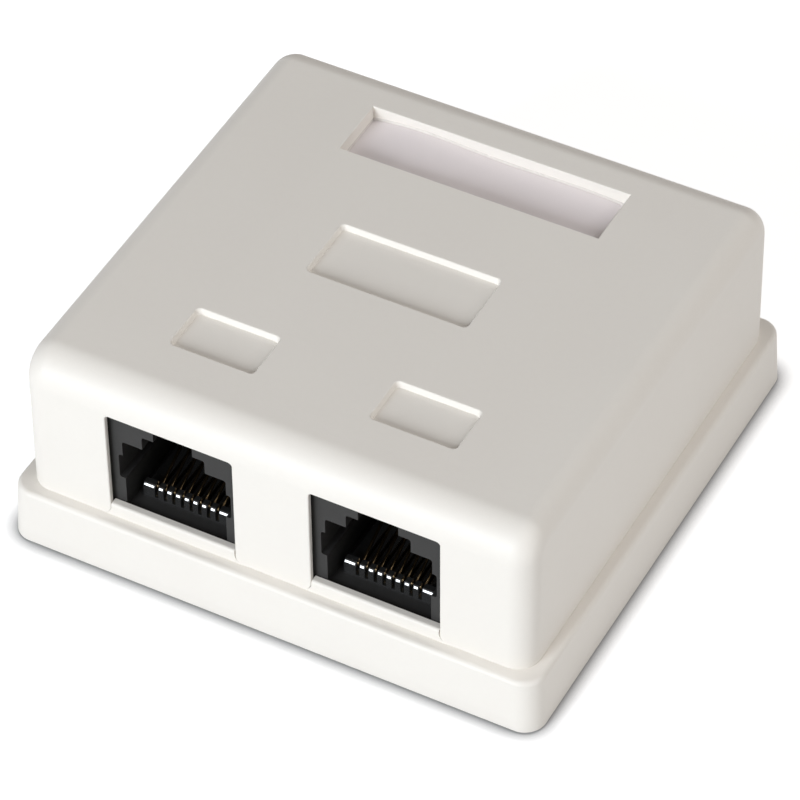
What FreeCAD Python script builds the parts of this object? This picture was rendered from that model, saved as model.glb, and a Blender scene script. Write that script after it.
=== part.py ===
import FreeCAD, Part
import math
import os
from FreeCAD import Vector

# Two-port surface mount jack box.
#
# A moulded base screws or sticks to a wall. It carries a small circuit board with two 8-way modular
# jacks at the front and two punch-down blocks behind them, and a moulded cover drops over the lot,
# with a window for each jack, a label pocket and three shallow panels on its face.
#
# Millimetres. The base lies flat: +Z is away from the wall, the jacks face -Y, and the origin is at
# the middle of the underside. Left is -X, as seen from the ports.

# ---- base -------------------------------------------------------------------------------------
base_height = 7.0           # foot to the ledge that the cover stands on
ledge_side = 1.33           # cover to the edge of the ledge, left and right
ledge_end = 1.43            # the same, front and rear
base_taper = 2.6            # degrees that the skirt leans in
base_corner = 2.4           # radius of the upright corners
ledge_round = 0.55          # radius along the outer edge of the ledge
foot_bevel = 0.25           # bevel along the edge of the foot
skirt = 1.8                 # thickness of the outer skirt
ledge_thickness = 2.0
floor_thickness = 2.0
lip_height = 2.2            # how far the locating lip stands over the ledge
lip_thickness = 1.3
lip_gap = 0.3               # between the lip and the cover wall
rib_thickness = 1.2         # ribs that tie the skirt to the tray
rib_pitch = 15.0

# ---- cover ------------------------------------------------------------------------------------
cover_width = 57.9          # at the ledge
cover_depth = 55.9          # at the ledge
cover_height = 18.1         # ledge to the face
cover_wall = 2.0
cover_roof = 2.0
cover_draft = 0.35          # degrees
cover_seat = 0.02           # cover to ledge
nose_round = 3.9            # radius along the front edge of the face
tail_round = 3.3            # radius along its rear edge
side_round = 2.6            # radius along its sides and of the upright corners
core_round = 0.8            # least radius inside

# ---- what shows on the face of the cover --------------------------------------------------------
label_width = 30.2
label_depth = 7.4
label_setback = 5.95        # rear of the cover to the label pocket
label_sink = 1.5            # face to the ends of the label window
label_swells = [(-0.57, 0.6), (0.03, 0.2), (0.5, 0.3)]     # (share of the half width, rise)
label_fit = 0.1             # clearance round the window and card
sheet_gap = 0.02            # card to window
window_sheet = 0.4          # thickness of the clear window
card_sheet = 0.25           # thickness of the paper card
sheet_facets = 18           # straight runs that stand for the swell of both
pocket_web = 1.0            # thickness of the plastic round and under the label pocket
panel_width = 18.5          # middle panel
panel_depth = 7.9
panel_y = 0.45
icon_width = 9.7            # small panels over the ports
icon_depth = 5.9
icon_setback = 8.7          # front of the cover to the small panels
icon_offset = 0.25          # how much nearer the middle they are than the ports
panel_sink = 0.7            # depth of the three shallow panels
panel_slope = 14.0          # degrees that their walls lean
panel_corner = 0.55
rim_bevel = 0.13            # bevel round the rims of the pocket, the panels and the windows

# ---- ports --------------------------------------------------------------------------------------
port_spacing = 23.3         # between the middles of the two jacks
window_web = 0.6            # thickness of the cover round the windows, in front of the jacks
jack_setback = 1.0          # cover front to jack front
window_overlap = 0.3        # how far each jack reaches behind the sides of its window
window_cover = 0.86         # how far it reaches behind the head
jack_gap = 0.2              # jack to the cover behind the web, and to the ribs above it
window_corner = 0.45
window_flare = 1.1          # radius at the foot of each window
sill_height = 1.6           # ledge to the top of the sill that closes each window
sill_gap = 0.1              # sill to the cover and to the jack
sill_round = 0.35

# ---- jack ---------------------------------------------------------------------------------------
jack_width = 15.2
jack_height = 14.5
jack_edge = 0.4             # chamfer along the rear edges of the jack
jack_floor = 0.8
jack_rear = 1.0             # rear wall
throat_depth = 12.75        # front to the wall that stops the plug
stop_wall = 1.0
throat_foot_width = 11.7    # the plug mouth, from the bottom up
throat_foot_top = 4.65      # heights are from the bottom of the jack
throat_waist_width = 13.0
throat_waist_top = 7.85
throat_head_width = 12.0
throat_head_top = 9.8
latch_width = 7.25
latch_top = 11.5
key_width = 4.5
key_top = 13.8
side_recess = 0.35          # depth of the panel sunk in each side of the housing
peg_radius = 1.6
peg_gap = 0.1
peg_spacing = 10.16
peg_setback = 7.6           # jack front to the pegs
peg_reach = 2.4             # how far the pegs reach below the housing

# ---- jack contacts and the insert that holds them ------------------------------------------------
contact_count = 8
contact_pitch = 1.016
contact_width = 0.32
contact_sheet = 0.25
contact_bend = 0.40         # radius at the nose of the contact, on its middle line
nose_facets = 4             # straight runs that stand for the round of the nose
contact_rise = 26.0         # degrees that the free arm climbs
contact_arm = 5.8           # length of the free arm
contact_tip = 0.9           # length of the turned-down tip
tail_front_gap = 0.7        # wall that stops the plug to the first row of tails
tail_rows = 2.54            # between the two rows
tail_rear_gap = 0.61        # second row to the rear wall of the jack
tail_reach = 1.2            # how far a tail reaches through the board
comb_setback = 2.0          # jack front to the comb
comb_thickness = 0.9
comb_top = 2.6              # bottom of the jack to the top of the comb
comb_slot = 0.4
comb_end = 1.35             # width of the solid ends of the comb
comb_bevel = 0.26           # depth of the bevel along the front of the teeth
comb_bevel_drop = 0.45      # its height
nose_gap = 0.75             # comb front to the nose of a contact
insert_plate = 0.85         # thickness of the insert behind the comb
insert_web = 0.2            # what is left of it under the contacts
insert_gap = 0.05           # insert to the housing round it
insert_strap = 0.45         # the strap over the contacts at the back of the insert

# ---- circuit board ------------------------------------------------------------------------------
board_depth = 30.4
board_side_gap = 2.35       # tray wall to the board
board_front_gap = 0.55
board_thickness = 1.6
board_corner = 1.0
board_standoff = 3.8        # floor to the underside of the board
board_notch = 8.0           # width of the notch that clears the front wall screw
board_notch_depth = 11.2
pin_hole = 0.42             # radius of the plated holes
hole_sides = 6              # flats that stand for the round side of a plated hole
round_sides = 12            # the same for the larger holes, studs, pegs and shanks
stud_inset = 1.6            # board edge to the locating studs
stud_radius = 0.7
stud_gap = 0.1
stud_post = 1.5             # corner radius of the eight-sided post under each stud
stud_rise = 0.6             # how far a stud stands through the board

# ---- board screws -------------------------------------------------------------------------------
screw_front_setback = 14.6  # front edge of the board to the front screw
screw_rear_inset = 3.2      # rear edge of the board to the rear screw
screw_shank = 1.1           # radius
screw_length = 5.2
screw_head = 1.9            # radius
screw_head_height = 1.3
screw_gap = 0.05            # shank to the bore of its boss
screw_clearance = 0.25      # shank to the hole in the board
cross_width = 0.5
cross_span = 2.2
cross_depth = 0.8
boss_radius = 2.6           # corner radius of the eight-sided bosses
post_sides = 8

# ---- punch-down blocks --------------------------------------------------------------------------
block_width = 15.4
block_gap = 0.75            # rear of the jack to the block
block_depth = 12.4
block_slab = 3.0
block_height = 11.0
block_edge = 0.4            # chamfer along its upright edges
row_thickness = 3.6
row_inset = 1.3             # block edge to the row
wire_pitch = 3.6
wire_slot = 1.5
wire_slot_depth = 6.0
wire_lead = 0.6             # how much wider the slot is at its mouth, each side
blade_width = 2.3
blade_sheet = 0.4
blade_gap = 0.06            # blade to block
blade_drop = 2.0            # top of the block to the top of the blade
blade_fork = 0.3            # width of the slit that grips the wire
blade_fork_depth = 4.2
blade_leg = 0.6             # width of the leg that is soldered
solder_reach = 1.2          # how far a leg reaches through the board

# ---- wall fixing and cable ways ------------------------------------------------------------------
wall_slot_radius = 2.1
wall_slot_length = 6.6
wall_slot_front_inset = 4.05    # tray wall to the front slot
wall_slot_rear_inset = 2.05     # tray wall to the rear slot
cable_hole_width = 21.0
cable_hole_depth = 6.2
cable_hole_gap = 1.7        # board to the hole
cable_hole_corner = 1.5
anchor_gap = 5.5            # cable hole to the cable tie anchors, left and right
anchor_setback = 4.4        # board to the anchors
anchor_length = 8.0
anchor_thickness = 3.0
anchor_height = 4.2
anchor_hole = 2.0           # height of the hole for the tie
anchor_foot = 2.0           # length of the feet either side of it
anchor_round = 1.0
knockout_width = 11.0       # in the rear wall of the cover
knockout_height = 7.0
score_width = 0.7
score_depth = 1.3
bead_length = 12.0          # snap beads on the side lips
bead_height = 0.25
bead_radius = 0.6
bead_rise = 1.3             # ledge to the middle of the bead
groove_gap = 0.15
hold_rib = 1.0              # ribs in the roof that keep the jacks down
hold_rib_spacing = 8.0
hold_rib_length = 11.0

# ---- places that follow from the sizes -----------------------------------------------------------
base_lean = math.tan(math.radians(base_taper))
base_width = cover_width + 2 * (ledge_side + base_lean * base_height)      # at the foot
base_depth = cover_depth + 2 * (ledge_end + base_lean * base_height)
cover_front = -cover_depth / 2
cover_top = base_height + cover_height
jack_front = cover_front + jack_setback
tail_setback = throat_depth + stop_wall + tail_front_gap
jack_depth = tail_setback + tail_rows + tail_rear_gap + jack_rear
board_bottom = floor_thickness + board_standoff
board_top = board_bottom + board_thickness
jack_top = board_top + jack_height
window_width = jack_width - 2 * window_overlap
window_top = jack_top - window_cover
tray_width = cover_width - 2 * (cover_wall + lip_gap)      # outside of the locating lip
tray_depth = cover_depth - 2 * (cover_wall + lip_gap)
well_width = tray_width - 2 * lip_thickness                # inside it
well_depth = tray_depth - 2 * lip_thickness
board_width = well_width - 2 * board_side_gap
board_front = -well_depth / 2 + board_front_gap
board_rear = board_front + board_depth
block_front = jack_front + jack_depth + block_gap
cable_hole_y = board_rear + cable_hole_gap + cable_hole_depth / 2
label_y = cover_depth / 2 - label_setback - label_depth / 2
icon_y = cover_front + icon_setback + icon_depth / 2
label_floor = cover_top - label_sink - window_sheet - sheet_gap - card_sheet
port_places = {"left": -port_spacing / 2, "right": port_spacing / 2}
screw_places = [Vector(0, y, 0) for y in (board_front + screw_front_setback, board_rear - screw_rear_inset)]
comb_front = jack_front + comb_setback
throat_floor = board_top + jack_floor
groove_floor = throat_floor + insert_web
leg_height = groove_floor + contact_sheet / 2              # middle line of a contact's lower leg
comb_width = (contact_count - 1) * contact_pitch + comb_slot + 2 * comb_end


# ---- helpers ------------------------------------------------------------------------------------
def block(x0, x1, y0, y1, z0, z1):
    return Part.makeBox(x1 - x0, y1 - y0, z1 - z0, Vector(x0, y0, z0))


def bar(x, width, y0, y1, z0, z1):
    """A block of that width, centred on x."""
    return block(x - width / 2, x + width / 2, y0, y1, z0, z1)


def post(x, y, z0, z1, radius):
    return Part.makeCylinder(radius, z1 - z0, Vector(x, y, z0))


def prism(x, y, z0, z1, radius, sides):
    """A many-sided post with its corners on that radius."""
    turns = [2 * math.pi * (i + 0.5) / sides for i in range(sides)]
    outline = [Vector(x + radius * math.cos(a), y + radius * math.sin(a), z0) for a in turns]
    return face_of(outline).extrude(Vector(0, 0, z1 - z0))


def pin(x, y, z0, z1, radius):
    """A round pin, as a many-sided post that stays inside that radius."""
    return prism(x, y, z0, z1, radius, round_sides)


def hole(x, y, z0, z1, radius):
    """A cutter for a round hole that stays outside that radius."""
    return prism(x, y, z0, z1, radius / math.cos(math.pi / round_sides), round_sides)


def joined(first, others):
    return first.fuse(others).removeSplitter()


def face_of(points):
    return Part.Face(Part.makePolygon(points + points[:1]))


def corners_of(width, depth, z, x, y):
    return [Vector(x + i * width / 2, y + j * depth / 2, z) for i, j in ((-1, -1), (1, -1), (1, 1), (-1, 1))]


def frustum(width, depth, z0, z1, lean, x=0.0, y=0.0):
    """A block whose four walls lean in by that many degrees on the way up."""
    less = 2 * math.tan(math.radians(lean)) * (z1 - z0)
    foot = corners_of(width, depth, z0, x, y)
    head = corners_of(width - less, depth - less, z1, x, y)
    walls = [[foot[i - 1], foot[i], head[i], head[i - 1]] for i in range(4)]
    shell = Part.Shell([face_of(points) for points in [foot[::-1], head] + walls])
    return Part.Solid(shell)


def upright_edges(shape):
    return [e for e in shape.Edges if e.BoundBox.ZLength > 3 * max(e.BoundBox.XLength, e.BoundBox.YLength)]


def edges_at(shape, z):
    """Edges that lie in the level plane at z."""
    return [e for e in shape.Edges if abs(e.BoundBox.ZMin - z) < 0.01 and abs(e.BoundBox.ZMax - z) < 0.01]


def rounded_bar(width, depth, z0, z1, radius, x=0.0, y=0.0):
    body = bar(x, width, y - depth / 2, y + depth / 2, z0, z1)
    return body.makeFillet(radius, upright_edges(body))


def slot_along_y(x, y, length, radius, z0, z1):
    half = length / 2 - radius
    ends = [post(x, y + side * half, z0, z1, radius) for side in (-1, 1)]
    return joined(bar(x, 2 * radius, y - half, y + half, z0, z1), ends)


# ---- cover --------------------------------------------------------------------------------------
def cover_block(inset, top):
    """The cover's plain block, with the front and rear edges of its face and then the others."""
    foot = base_height + cover_seat
    body = frustum(cover_width - 2 * inset, cover_depth - 2 * inset, foot, top, cover_draft)
    across = sorted([e for e in edges_at(body, top) if e.BoundBox.XLength > 1], key=lambda e: e.BoundBox.YMin)
    return body, across


def side_edges(body):
    """The upright corners of the cover and the side edges of its face."""
    return [e for e in body.Edges if e.BoundBox.XLength < 1 and e.BoundBox.ZMax > base_height + 1]


def cover_outside():
    body, (front, _) = cover_block(0.0, cover_top)
    body = body.makeFillet(nose_round, [front])
    rear = [e for e in edges_at(body, cover_top) if e.BoundBox.XLength > 1 and e.BoundBox.YMin > 0]
    body = body.makeFillet(tail_round, rear)
    return body.makeFillet(side_round, side_edges(body))


def cover_core():
    """The hollow of the cover. Its edges are bevelled, so that the wall stays as thick at the rounds."""
    top = cover_top - cover_roof
    body, (front, _) = cover_block(cover_wall, top)
    body = body.makeChamfer(nose_round - cover_wall, [front])
    rear = [e for e in edges_at(body, top) if e.BoundBox.XLength > 1 and e.BoundBox.YMin > 0]
    body = body.makeChamfer(tail_round - cover_wall, rear)
    return body.makeChamfer(side_round - cover_wall, side_edges(body))


def port_outline(port_x, gap, flare, y):
    """Face of a window in the front wall: rounded at its head, and flared at its foot by that radius."""
    half = window_width / 2 - gap
    left, right = port_x - half, port_x + half
    foot, top = base_height, window_top
    turn = math.sqrt(0.5)
    inset = window_corner * (1 - turn)
    bow = flare * (1 - turn)

    def arc(*places):
        return Part.Arc(*[Vector(x, y, z) for x, z in places]).toShape()

    def line(*places):
        return Part.LineSegment(*[Vector(x, y, z) for x, z in places]).toShape()

    edges = [
        line((left, foot + flare), (left, top - window_corner)),
        arc((left, top - window_corner), (left + inset, top - inset), (left + window_corner, top)),
        line((left + window_corner, top), (right - window_corner, top)),
        arc((right - window_corner, top), (right - inset, top - inset), (right, top - window_corner)),
        line((right, top - window_corner), (right, foot + flare)),
    ]
    if flare:
        edges.append(arc((right, foot + flare), (right + bow, foot + bow), (right + flare, foot)))
    edges.append(line((right + flare, foot), (left - flare, foot)))
    if flare:
        edges.append(arc((left - flare, foot), (left - bow, foot + bow), (left, foot + flare)))
    return Part.Face(Part.Wire(edges))


def shallow_panel(x, y, width, depth):
    """A pocket with leaning walls, for cutting into the face of the cover."""
    floor = cover_top - panel_sink
    lean = math.tan(math.radians(panel_slope))
    less = 2 * lean * panel_sink
    body = frustum(width - less, depth - less, floor, cover_top + panel_sink, -panel_slope, x, y)
    return body.makeFillet(panel_corner, upright_edges(body))


def face_pockets():
    """What is sunk in the face of the cover: the label pocket and the three shallow panels."""
    pockets = [bar(0, label_width, label_y - label_depth / 2, label_y + label_depth / 2,
                   label_floor, cover_top + 1)]
    pockets.append(shallow_panel(0, panel_y, panel_width, panel_depth))
    for port_x in port_places.values():
        x = port_x - math.copysign(icon_offset, port_x)
        pockets.append(shallow_panel(x, icon_y, icon_width, icon_depth))
    return pockets


def port_windows(flare):
    """Cutters for the windows in the front wall, flared by that much at the foot."""
    windows = []
    for port_x in port_places.values():
        outline = port_outline(port_x, 0.0, flare, cover_front - 1)
        windows.append(outline.extrude(Vector(0, 2 * cover_wall, 0)))
    return windows


def face_rims(shell):
    """Edges of the pockets in the face, which are the edges there that lie well inside its border."""
    inside = cover_depth / 2 - tail_round - 0.5
    return [e for e in edges_at(shell, cover_top) if max(abs(e.BoundBox.YMin), abs(e.BoundBox.YMax)) < inside]


def window_rims(shell):
    """Front edges of the windows."""
    rims = []
    for e in shell.Edges:
        box = e.BoundBox
        upright = box.ZLength > 1 or box.ZMin > base_height + 1
        if upright and box.YMax < cover_front + 0.3 and box.ZMax < window_top + 0.01:
            rims.append(e)
    return rims


def make_cover():
    core = cover_core()
    core = core.fuse(bar(0, cover_width - 2 * cover_wall, -cover_depth / 2 + cover_wall,
                         cover_depth / 2 - cover_wall, base_height - 1, base_height + 2 * cover_seat))
    outside = cover_outside()
    roof_inside = cover_top - cover_roof

    tub = bar(0, label_width + 2 * pocket_web, label_y - label_depth / 2 - pocket_web,
              label_y + label_depth / 2 + pocket_web, label_floor - pocket_web, roof_inside + 0.1)
    ribs = []
    for port_x in port_places.values():
        for side in (-1, 1):
            x = port_x + side * hold_rib_spacing / 2
            start = cover_front + cover_wall
            ribs.append(bar(x, hold_rib, start - 0.1, start + hold_rib_length, jack_top + jack_gap,
                            roof_inside + 0.1))
    shell = joined(outside.cut(core), [tub] + ribs)
    shell = shell.cut(face_pockets() + port_windows(0.0))
    shell = shell.makeChamfer(rim_bevel, face_rims(shell) + window_rims(shell))

    cuts = port_windows(window_flare)
    for port_x in port_places.values():
        cuts.append(bar(port_x, jack_width + 2 * jack_gap, cover_front + window_web,
                        cover_front + nose_round + jack_gap, base_height - 1, jack_top + jack_gap))
    for side in (-1, 1):
        x = side * (cover_width / 2 - cover_wall)
        z = base_height + bead_rise
        length = bead_length + 2 * groove_gap
        groove = Part.makeCylinder(bead_radius, length, Vector(x, -length / 2, z), Vector(0, 1, 0))
        sunk = bead_radius - bead_height - groove_gap
        groove.translate(Vector(-side * sunk, 0, 0))
        cuts.append(groove)
    rear_inside = cover_depth / 2 - cover_wall
    score_top = base_height + knockout_height
    outer = bar(0, knockout_width + 2 * score_width, rear_inside - 1, rear_inside + score_depth,
                base_height - 1, score_top + score_width)
    inner = bar(0, knockout_width, rear_inside - 2, rear_inside + cover_wall, base_height - 2, score_top)
    cuts.append(outer.cut(inner))
    return shell.cut(cuts)


# ---- label --------------------------------------------------------------------------------------
def bowed_sheet(bottom, thickness):
    """A sheet that fits the label pocket and swells between its ends. Its ends start at bottom."""
    half = label_width / 2 - label_fit
    front = label_y - label_depth / 2 + label_fit
    heights = [(-1.0, 0.0)] + label_swells + [(1.0, 0.0)]

    curve = Part.BSplineCurve()
    curve.interpolate([Vector(share * half, front, bottom + rise) for share, rise in heights])
    under = curve.discretize(sheet_facets + 1)
    over = [p + Vector(0, 0, thickness) for p in reversed(under)]
    return face_of(under + over).extrude(Vector(0, label_depth - 2 * label_fit, 0))


def make_label_card():
    return bowed_sheet(label_floor, card_sheet)


def make_label_window():
    return bowed_sheet(label_floor + card_sheet + sheet_gap, window_sheet)


# ---- base ---------------------------------------------------------------------------------------
def make_sill(port_x):
    """The strip of the base that closes a window under its jack."""
    top = base_height + sill_height
    window = port_outline(port_x, sill_gap, window_flare + sill_gap, cover_front)
    strip = window.extrude(Vector(0, jack_setback - sill_gap, 0))
    strip = strip.cut(bar(port_x, 2 * window_width, cover_front - 1, jack_front + 1, top, window_top + 1))
    front_top = [e for e in edges_at(strip, top) if e.BoundBox.YMax < cover_front + 0.01]
    strip = strip.makeFillet(sill_round, front_top)
    foot = bar(port_x, window_width, cover_front, jack_front - sill_gap, base_height - 0.5, base_height)
    return strip.fuse(foot)


def wall_slot_places():
    """y of the two wall slots."""
    half = wall_slot_length / 2
    return [-well_depth / 2 + wall_slot_front_inset + half, well_depth / 2 - wall_slot_rear_inset - half]


def make_wall_slot(y):
    return slot_along_y(0, y, wall_slot_length, wall_slot_radius, -1, floor_thickness + 1)


def make_anchor(side):
    """A bridge on the floor that a cable tie goes through."""
    x = side * (cable_hole_width / 2 + anchor_gap + anchor_thickness / 2)
    front = board_rear + anchor_setback
    rear = front + anchor_length
    top = floor_thickness + anchor_height
    body = bar(x, anchor_thickness, front, rear, floor_thickness - 0.1, top)
    shoulders = [e for e in edges_at(body, top) if e.BoundBox.XLength > 1]
    body = body.makeFillet(anchor_round, shoulders)
    hole = bar(x, anchor_thickness + 2, front + anchor_foot, rear - anchor_foot, floor_thickness,
               floor_thickness + anchor_hole)
    return body.cut(hole)


def stud_places():
    x = board_width / 2 - stud_inset
    return [(i * x, y) for i in (-1, 1) for y in (board_front + 2 * stud_inset, board_rear - stud_inset)]


def make_base():
    body = frustum(base_width, base_depth, 0, base_height, base_taper)
    body = body.makeFillet(base_corner, upright_edges(body))
    body = body.makeFillet(ledge_round, edges_at(body, base_height))
    body = body.makeChamfer(foot_bevel, edges_at(body, 0))

    less = 2 * (skirt + base_lean * (base_height - ledge_thickness))
    hollow = bar(0, base_width - less, (less - base_depth) / 2, (base_depth - less) / 2, -1,
                 base_height - ledge_thickness)
    tray = rounded_bar(tray_width, tray_depth, -2, base_height, core_round)
    channel = hollow.cut(tray)
    ribs = []
    for i in range(-1, 2):
        at = i * rib_pitch
        ribs.append(bar(at, rib_thickness, -base_depth, base_depth, -2, base_height))
        ribs.append(block(-base_width, base_width, at - rib_thickness / 2, at + rib_thickness / 2, -2,
                          base_height))
    body = body.cut(channel.cut(ribs))

    lip = rounded_bar(tray_width, tray_depth, base_height - 1, base_height + lip_height, core_round)
    adds = [lip]
    for side in (-1, 1):
        x = side * (tray_width / 2 + bead_height - bead_radius)
        z = base_height + bead_rise
        start = Vector(x, -bead_length / 2, z)
        adds.append(Part.makeCylinder(bead_radius, bead_length, start, Vector(0, 1, 0)))
    body = joined(body, adds)

    well = rounded_bar(well_width, well_depth, floor_thickness, base_height + lip_height + 1, core_round)
    body = body.cut(well)
    gate_top = base_height + lip_height + 1
    gates = [bar(port_x, window_width + 2 * window_flare, -base_depth, 0.1 - well_depth / 2, base_height,
                 gate_top) for port_x in port_places.values()]
    gates.append(bar(0, knockout_width + 2 * score_width, well_depth / 2 - 0.1, base_depth, base_height,
                     gate_top))
    body = body.cut(gates)

    adds = [make_sill(port_x) for port_x in port_places.values()]
    adds += [make_anchor(side) for side in (-1, 1)]
    for x, y in stud_places():
        adds.append(prism(x, y, floor_thickness - 0.1, board_bottom, stud_post, post_sides))
        adds.append(pin(x, y, floor_thickness - 0.1, board_top + stud_rise, stud_radius))
    for place in screw_places:
        adds.append(prism(place.x, place.y, floor_thickness - 0.1, board_bottom, boss_radius, post_sides))
    body = joined(body, adds)

    cuts = [make_wall_slot(y) for y in wall_slot_places()]
    cuts.append(rounded_bar(cable_hole_width, cable_hole_depth, -1, floor_thickness + 1, cable_hole_corner, 0,
                            cable_hole_y))
    bore = screw_shank + screw_gap
    for place in screw_places:
        cuts.append(hole(place.x, place.y, board_top - screw_length - 0.3, board_bottom + 1, bore))
    return body.cut(cuts)


# ---- circuit board and its screws ----------------------------------------------------------------
def contact_places(port_x):
    """x and y of each solder tail of a jack; the tails alternate between two rows."""
    first = -(contact_count - 1) / 2
    rows = (jack_front + tail_setback, jack_front + tail_setback + tail_rows)
    return [(port_x + (first + i) * contact_pitch, rows[i % 2]) for i in range(contact_count)]


def blade_places(port_x):
    """x and y of each punch-down blade: two rows of half the wires each."""
    per_row = contact_count // 2
    first = -(per_row - 1) / 2
    front = block_front + row_inset + row_thickness / 2
    rear = block_front + block_depth - row_inset - row_thickness / 2
    return [(port_x + (first + i) * wire_pitch, y) for y in (front, rear) for i in range(per_row)]


def peg_places(port_x):
    return [(port_x + side * peg_spacing / 2, jack_front + peg_setback) for side in (-1, 1)]


def make_circuit_board():
    body = rounded_bar(board_width, board_rear - board_front, board_bottom, board_top, board_corner, 0,
                       (board_rear + board_front) / 2)
    low, high = board_bottom - 1, board_top + 1
    cuts = [bar(0, board_notch, board_front - 1, board_front + board_notch_depth, low, high)]
    cuts += [hole(x, y, low, high, stud_radius + stud_gap) for x, y in stud_places()]
    cuts += [hole(p.x, p.y, low, high, screw_shank + screw_clearance) for p in screw_places]
    for port_x in port_places.values():
        cuts += [hole(x, y, low, high, peg_radius + peg_gap) for x, y in peg_places(port_x)]
        cuts += [prism(x, y, low, high, pin_hole, hole_sides)
                 for x, y in contact_places(port_x) + blade_places(port_x)]
    return body.cut(cuts)


def make_board_screw(place):
    """A tapping screw with a cross recess. Its thread and the dome of its head are too fine to model here."""
    top = board_top + screw_head_height
    head = post(place.x, place.y, board_top, top, screw_head)
    body = joined(head, [pin(place.x, place.y, board_top - screw_length, board_top + 0.1, screw_shank)])
    floor = top - cross_depth
    arms = []
    for along_x, along_y in ((cross_width, cross_span), (cross_span, cross_width)):
        arms.append(bar(place.x, along_x, place.y - along_y / 2, place.y + along_y / 2, floor, top + 1))
    return body.cut(arms)


# ---- jack ---------------------------------------------------------------------------------------
def throat_face(port_x):
    """The mouth that a plug enters: stepped out at the waist and up over the latch."""
    foot = board_top + jack_floor
    steps = [
        (throat_foot_width, foot, board_top + throat_foot_top),
        (throat_waist_width, board_top + throat_foot_top, board_top + throat_waist_top),
        (throat_head_width, board_top + throat_waist_top, board_top + throat_head_top),
        (latch_width, board_top + throat_head_top, board_top + latch_top),
        (key_width, board_top + latch_top, board_top + key_top),
    ]
    right = []
    for width, low, high in steps:
        right.append(Vector(port_x + width / 2, jack_front, low))
        right.append(Vector(port_x + width / 2, jack_front, high))
    left = [Vector(2 * port_x - p.x, p.y, p.z) for p in reversed(right)]
    return face_of(right + left)


def make_jack_housing(port_x):
    rear = jack_front + jack_depth
    body = bar(port_x, jack_width, jack_front, rear, board_top, jack_top)
    rear_edges = [e for e in body.Edges if e.BoundBox.YMin > rear - 0.01 and e.BoundBox.ZMax > board_top + 1]
    body = body.makeChamfer(jack_edge, rear_edges)

    throat = throat_face(port_x).extrude(Vector(0, throat_depth, 0))
    chamber_front = jack_front + throat_depth + stop_wall
    tunnel = comb_width + 2 * insert_gap
    cuts = [
        throat,
        bar(port_x, tunnel, chamber_front, rear - jack_rear, board_top - 1, board_top + throat_foot_top),
        bar(port_x, tunnel, chamber_front - stop_wall - 0.1, chamber_front + 0.1, throat_floor,
            throat_floor + insert_plate + insert_strap + insert_gap),
    ]
    for side in (-1, 1):
        outer = port_x + side * jack_width / 2
        cuts.append(bar(outer, 2 * side_recess, chamber_front, rear - jack_rear, board_top + 2 * jack_floor,
                        jack_top - 2 * jack_floor))
    body = body.cut(cuts)
    pegs = [pin(x, y, board_top - peg_reach, board_top + 0.1, peg_radius) for x, y in peg_places(port_x)]
    return joined(body, pegs)


def make_contact_insert(port_x):
    """The carrier in the bottom of a jack: a comb at the front, grooves, and a strap at the back."""
    plate_top = throat_floor + insert_plate
    plate_rear = jack_front + throat_depth + stop_wall
    comb_head = board_top + comb_top
    profile = [
        Vector(0, comb_front, throat_floor),
        Vector(0, comb_front, comb_head - comb_bevel_drop),
        Vector(0, comb_front + comb_bevel, comb_head),
        Vector(0, comb_front + comb_thickness, comb_head),
        Vector(0, comb_front + comb_thickness, plate_top),
        Vector(0, plate_rear - stop_wall, plate_top),
        Vector(0, plate_rear - stop_wall, plate_top + insert_strap),
        Vector(0, plate_rear, plate_top + insert_strap),
        Vector(0, plate_rear, throat_floor),
    ]
    body = face_of(profile).extrude(Vector(comb_width, 0, 0))
    body.translate(Vector(port_x - comb_width / 2, 0, 0))
    cuts = []
    for x, _ in contact_places(port_x):
        comb_rear = comb_front + comb_thickness
        cuts.append(bar(x, comb_slot, comb_front - 1, comb_rear, groove_floor, comb_head + 1))
        cuts.append(bar(x, comb_slot, comb_front, plate_rear + 1, groove_floor, plate_top))
    return body.cut(cuts)


def strip_along(x, points, thickness, width):
    """A strip bent from flat sheet and centred on x. Its middle line runs through these points."""
    runs = [(b - a).normalize() for a, b in zip(points, points[1:])]
    sides = [Vector(0, -run.z, run.y) for run in runs]
    sides = sides[:1] + sides + sides[-1:]
    shifts = [(a + b) * (thickness / 2 / (1 + a.dot(b))) for a, b in zip(sides, sides[1:])]
    outline = [p + shift for p, shift in zip(points, shifts)]
    outline += [p - shift for p, shift in reversed(list(zip(points, shifts)))]
    body = face_of(outline).extrude(Vector(width, 0, 0))
    body.translate(Vector(x - width / 2, 0, 0))
    return body


def make_contact(x, tail_y):
    """One jack contact: up from the board, forward along its groove, round the nose in the comb, and
    back up into the mouth as a free arm with its tip turned down."""
    rise = math.radians(contact_rise)
    nose_y = comb_front + nose_gap + contact_sheet / 2 + contact_bend
    nose = Vector(0, nose_y, leg_height + contact_bend)
    under, over = 1.5 * math.pi, math.pi / 2 + rise        # where the nose begins and ends
    points = [
        Vector(0, tail_y, board_bottom - tail_reach),
        Vector(0, tail_y, leg_height - contact_bend),
        Vector(0, tail_y - contact_bend, leg_height),
    ]
    for i in range(nose_facets + 1):
        turn = under + (over - under) * i / nose_facets
        points.append(nose + Vector(0, math.cos(turn), math.sin(turn)) * contact_bend)
    corner = points[-1] + Vector(0, math.cos(rise), math.sin(rise)) * contact_arm
    points += [corner, corner + Vector(0, math.cos(rise), -math.sin(rise)) * contact_tip]
    return strip_along(x, points, contact_sheet, contact_width)


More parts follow.
